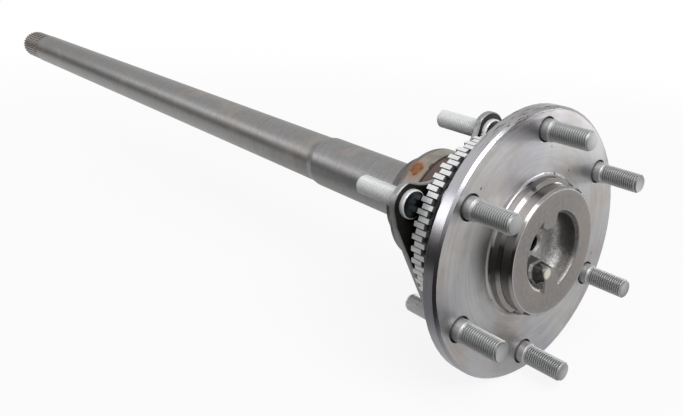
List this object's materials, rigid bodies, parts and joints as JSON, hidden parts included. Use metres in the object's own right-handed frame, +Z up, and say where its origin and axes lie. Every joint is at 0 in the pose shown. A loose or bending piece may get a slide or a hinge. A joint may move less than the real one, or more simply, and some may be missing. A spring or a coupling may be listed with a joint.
{
  "type": "axle shaft",
  "caption": "Flanged rear axle shaft with wheel studs, tone ring, tapered roller wheel bearing, loose retainer plate with studs, and a splined end.",
  "frame": {"origin": "on the axle's centre line, in the face of the flange that the wheel bolts to", "axes": "+Y along the axle towards its splined end, +Z up through a wheel stud, the wheel on the -Y side"},
  "size_m": [0.1663, 0.8525, 0.1668],
  "materials": {
    "axle_steel": "forged and machined steel",
    "stud_phosphate": "grey phosphate",
    "bright_zinc": "bright zinc plating",
    "bearing_steel": "ground bearing steel",
    "aged_bearing_steel": "ground steel, stained and lightly rusted",
    "dark_steel": "dark heat-treated steel",
    "plate_black": "black oxide",
    "seal_rubber": "matt nitrile rubber"
  },
  "bodies": {
    "bearing_outer": {"bearing_cup": "aged_bearing_steel", "seal_case": "aged_bearing_steel", "outer_seal": "seal_rubber", "inner_seal": "seal_rubber", "sealing_ring": "seal_rubber"},
    "axle": {"axle_shaft": "axle_steel", "tone_ring": "bright_zinc", "wheel_stud_1": "stud_phosphate", "wheel_stud_2": "stud_phosphate", "wheel_stud_3": "stud_phosphate", "wheel_stud_4": "stud_phosphate", "wheel_stud_5": "stud_phosphate", "wheel_stud_6": "stud_phosphate", "bearing_cone": "bearing_steel", "lock_collar": "dark_steel"},
    "roller_set": {"roller_cage": "bearing_steel", "bearing_rollers": "bearing_steel"},
    "retainer": {"retainer_plate": "plate_black", "retainer_stud_1": "bright_zinc", "retainer_stud_2": "bright_zinc", "retainer_stud_3": "bright_zinc", "retainer_stud_4": "bright_zinc"}
  },
  "joints": [
    {"name": "axle_spin", "type": "hinge", "parent": "bearing_outer", "child": "axle", "pos_m": [0, 0.078, 0], "axis": [0, 1, 0], "continuous": true},
    {"name": "cage_spin", "type": "hinge", "parent": "bearing_outer", "child": "roller_set", "pos_m": [0, 0.078, 0], "axis": [0, 1, 0], "continuous": true},
    {"name": "retainer_turn", "type": "hinge", "parent": "bearing_outer", "child": "retainer", "pos_m": [0, 0.0504, -0.0074], "axis": [0, 1, 0], "continuous": true}
  ],
  "couplings": [
    {"joint": "cage_spin", "follows": "axle_spin", "ratio": 0.44}
  ]
}
